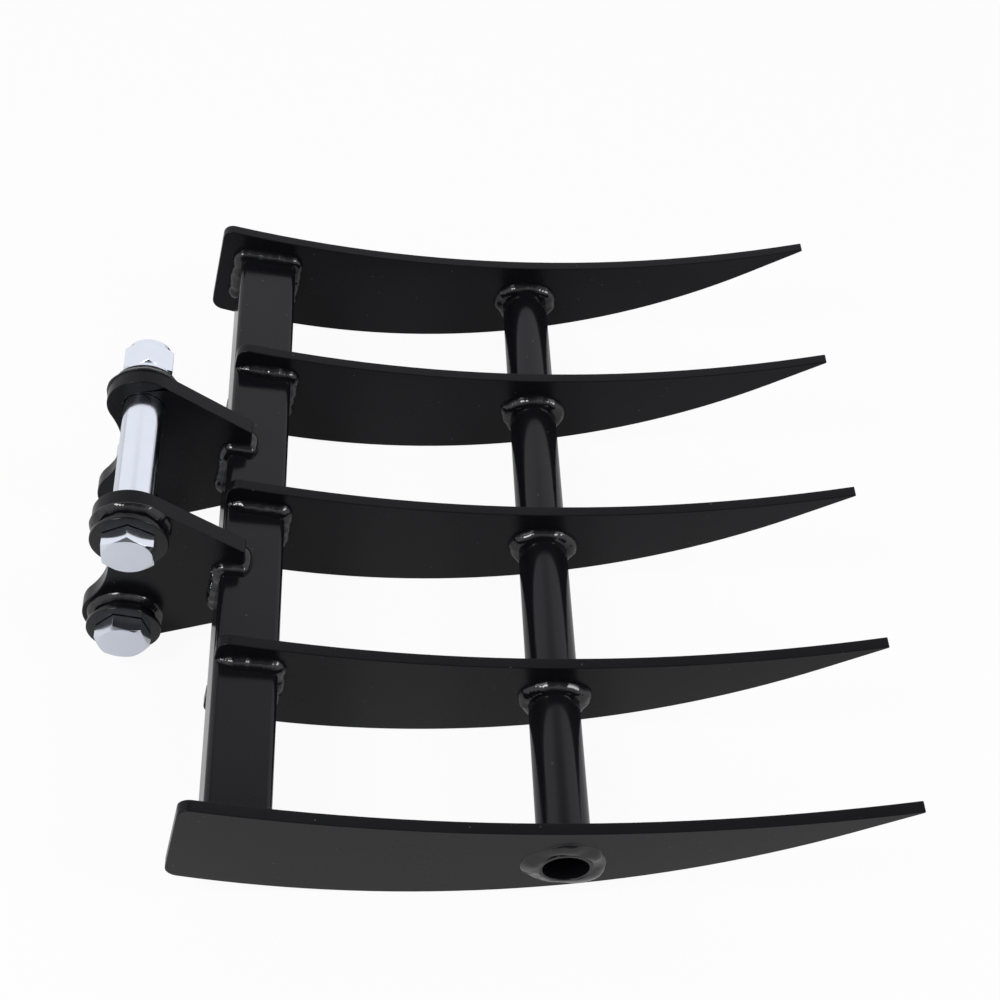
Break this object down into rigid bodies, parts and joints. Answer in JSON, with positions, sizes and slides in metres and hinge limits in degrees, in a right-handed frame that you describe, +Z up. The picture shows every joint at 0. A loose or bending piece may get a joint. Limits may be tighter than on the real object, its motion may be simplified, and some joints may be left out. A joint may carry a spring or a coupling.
{
  "type": "excavator rake",
  "caption": "Welded root rake for a small excavator: curved plate tines on a square tube and a round cross pipe, with pinned hitch ears behind.",
  "frame": {"origin": "on the ground, below the middle of the rake's box, lying on its tine bellies and lower ear lobes", "axes": "+X from the ears to the tine tips, +Y along the square tube, away from the pin heads, +Z up"},
  "size_m": [0.6464, 0.6176, 0.1838],
  "materials": {
    "black_paint": "semi-gloss black powder coat on plate, tube and pipe",
    "zinc_plate": "bright bluish zinc plating on the pins, washers and nuts",
    "painted_weld": "glossy black paint over rippled weld beads"
  },
  "bodies": {
    "root": {"outer_tine_right": "black_paint", "inner_tine_right": "black_paint", "middle_tine": "black_paint", "inner_tine_left": "black_paint", "outer_tine_left": "black_paint", "square_tube": "black_paint", "cross_pipe": "black_paint", "right_ear": "black_paint", "left_ear": "black_paint", "right_ear_bosses": "black_paint", "left_ear_bosses": "black_paint", "upper_pin_bolt": "zinc_plate", "lower_pin_bolt": "zinc_plate", "head_washers": "zinc_plate", "lock_washers": "zinc_plate", "pin_nuts": "zinc_plate", "tine_tube_welds": "painted_weld", "ear_tube_welds": "painted_weld", "tine_pipe_welds": "painted_weld", "boss_welds": "painted_weld"}
  },
  "joints": []
}
